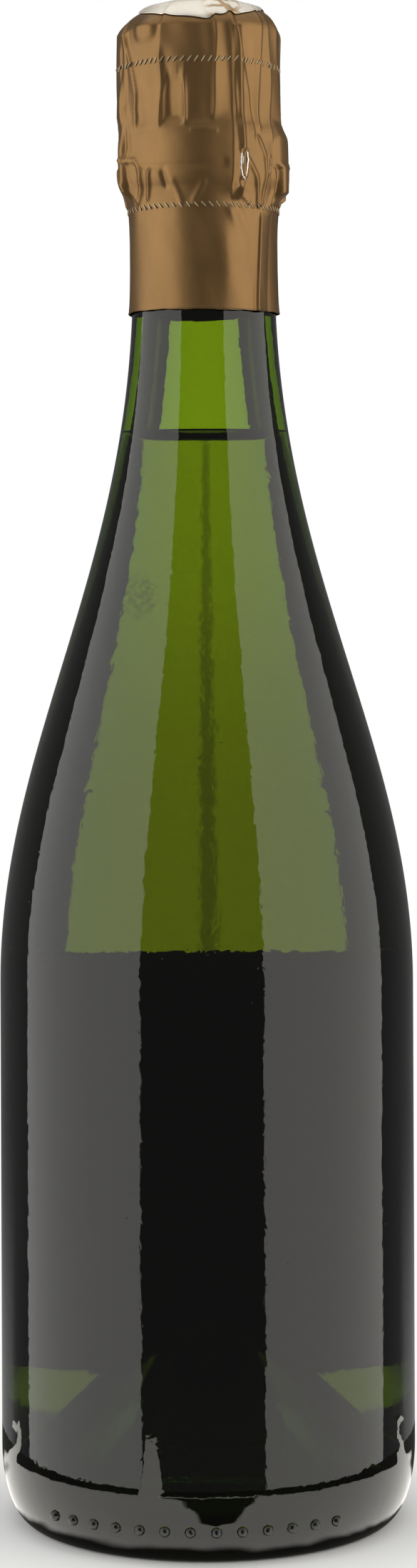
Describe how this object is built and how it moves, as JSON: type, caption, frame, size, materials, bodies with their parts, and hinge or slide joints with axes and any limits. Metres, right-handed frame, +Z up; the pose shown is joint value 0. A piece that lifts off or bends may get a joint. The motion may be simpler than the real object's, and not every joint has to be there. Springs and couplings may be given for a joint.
{
  "type": "champagne bottle",
  "caption": "Full champagne bottle with punt, sloping shoulder, blank label, wired mushroom cork and pleated metal foil that opens in steps.",
  "frame": {"origin": "centre of the base, on the surface that the bottle stands on", "axes": "+Z up along the bottle's axis, -Y towards the side that the picture shows, with the label on +Y"},
  "size_m": [0.0886, 0.0888, 0.3246],
  "materials": {
    "green_glass": "polished",
    "wine": "clear liquid",
    "label_paper": "matte",
    "gold_foil": "satin",
    "pale_foil": "satin",
    "agglomerate_cork": "matte",
    "natural_cork": "matte",
    "plaque_metal": "gloss",
    "cage_steel": "galvanised"
  },
  "bodies": {
    "bottle": {"glass_bottle": "green_glass", "wine": "wine", "front_label": "label_paper", "foil_sleeve": "gold_foil"},
    "cork": {"cork_body": "agglomerate_cork", "cork_disc_upper": "natural_cork", "cork_disc_lower": "natural_cork"},
    "cage": {"plaque": "plaque_metal", "cage_wire": "cage_steel", "belt_wire": "cage_steel"},
    "loop": {"twist_loop": "cage_steel"},
    "foil": {"foil_crown_disc": "pale_foil", "foil_crown_sleeve": "gold_foil", "foil_tear_band": "gold_foil"}
  },
  "joints": [
    {"name": "cork_pull", "type": "slide", "parent": "bottle", "child": "cork", "axis": [0, 0, 1], "range_m": [0, 0.045], "deforming": ["cage_wire", "belt_wire", "foil_tear_band"]},
    {"name": "cage_lift", "type": "slide", "parent": "cork", "child": "cage", "axis": [0, 0, 1], "range_m": [0, 0.045]},
    {"name": "foil_lift", "type": "slide", "parent": "cage", "child": "foil", "axis": [0, 0, 1], "range_m": [0, 0.055]},
    {"name": "loop_swing", "type": "hinge", "parent": "cage", "child": "loop", "pos_m": [0.0171, -0.00622, 0.2832], "axis": [0.342, 0.9397, 0], "range_deg": [0, 100]}
  ]
}
